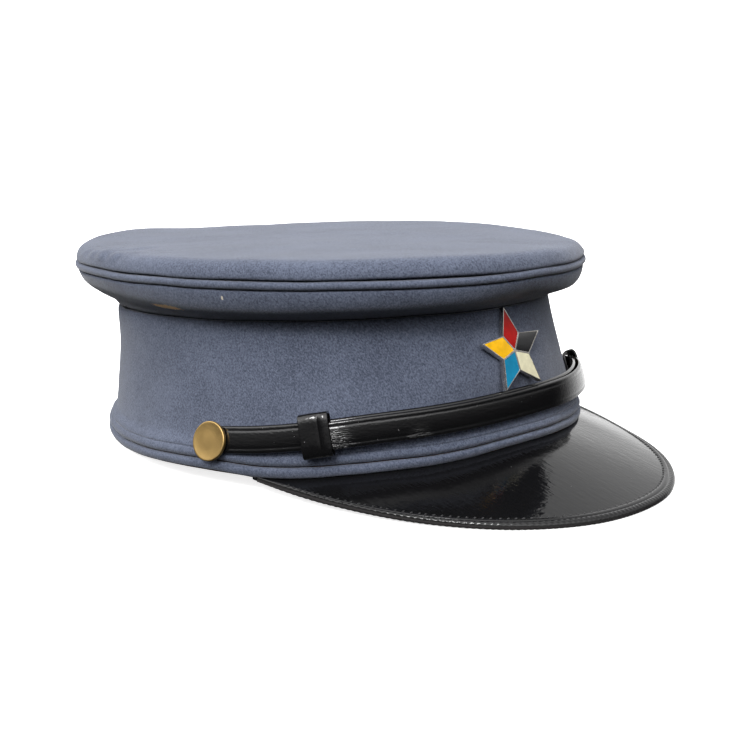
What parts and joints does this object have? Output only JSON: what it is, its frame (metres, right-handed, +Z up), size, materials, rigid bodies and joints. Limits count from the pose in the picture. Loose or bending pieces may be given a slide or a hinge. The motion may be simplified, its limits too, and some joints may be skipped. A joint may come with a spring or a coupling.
{
  "type": "peaked cap",
  "caption": "Round-crowned wool cap with a glossy arched peak, doubled chin strap with slides, side buttons and a star badge, standing on its rim and peak.",
  "frame": {"origin": "middle of the box round the cap, on the surface it stands on", "axes": "+Z up, the peak points to -Y, the wearer's right is -X"},
  "size_m": [0.1876, 0.2734, 0.0794],
  "materials": {
    "wool_cloth": "milled blue-grey wool, matt",
    "brown_leather": "plain brown leather, dull",
    "patent_leather": "black patent, high gloss",
    "brass": "antique, satin",
    "nickel": "nickel plate, slightly dulled",
    "red_enamel": "hard enamel, glossy",
    "yellow_enamel": "hard enamel, glossy",
    "blue_enamel": "hard enamel, glossy",
    "white_enamel": "hard enamel, off-white, glossy",
    "black_enamel": "hard enamel, glossy"
  },
  "bodies": {
    "root": {"crown_top": "wool_cloth", "crown_piping": "wool_cloth", "crown_side": "wool_cloth", "band": "wool_cloth", "band_welt": "wool_cloth", "sweatband": "brown_leather", "peak": "patent_leather", "peak_binding": "patent_leather", "strap_right": "patent_leather", "strap_left": "patent_leather", "slide_right": "patent_leather", "slide_left": "patent_leather", "button_right": "brass", "button_left": "brass", "badge_star": "nickel", "enamel_red": "red_enamel", "enamel_yellow": "yellow_enamel", "enamel_blue": "blue_enamel", "enamel_white": "white_enamel", "enamel_black": "black_enamel"}
  },
  "joints": []
}
